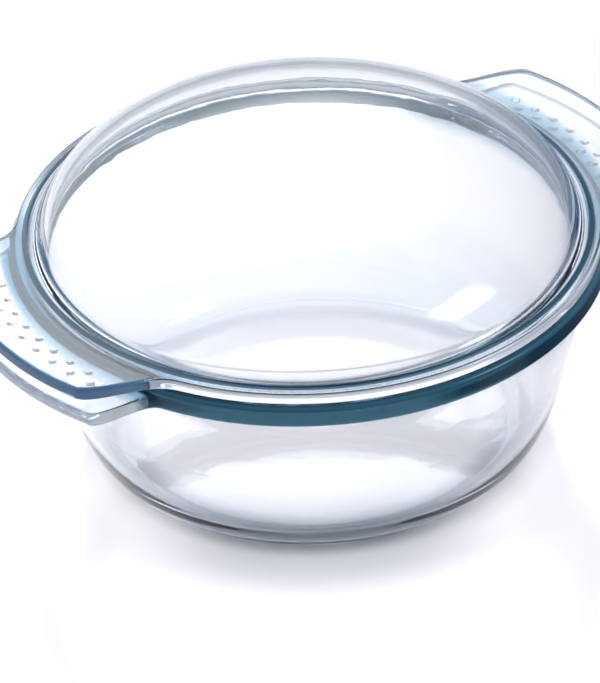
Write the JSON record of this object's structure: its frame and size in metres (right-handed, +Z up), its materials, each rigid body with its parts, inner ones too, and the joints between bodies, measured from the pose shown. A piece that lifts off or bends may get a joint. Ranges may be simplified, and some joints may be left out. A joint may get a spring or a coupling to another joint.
{
  "type": "covered casserole dish",
  "caption": "Round covered casserole in clear oven glass: a deep dish with broad side handles and a domed lid with matching handles that lifts off.",
  "frame": {"origin": "middle of the flat base that the dish stands on", "axes": "+Z up through the middle of the lid's dome; X along both pairs of handles; Y across them"},
  "size_m": [0.269, 0.224, 0.1275],
  "materials": {
    "dish_glass": "clear pressed glass, fire polished",
    "lid_glass": "clear pressed glass, fire polished"
  },
  "bodies": {
    "dish": {"casserole_dish": "dish_glass"},
    "lid": {"casserole_lid": "lid_glass"}
  },
  "joints": [
    {"name": "lid_lift", "type": "slide", "parent": "dish", "child": "lid", "axis": [0, 0, 1], "range_m": [0, 0.15]}
  ]
}
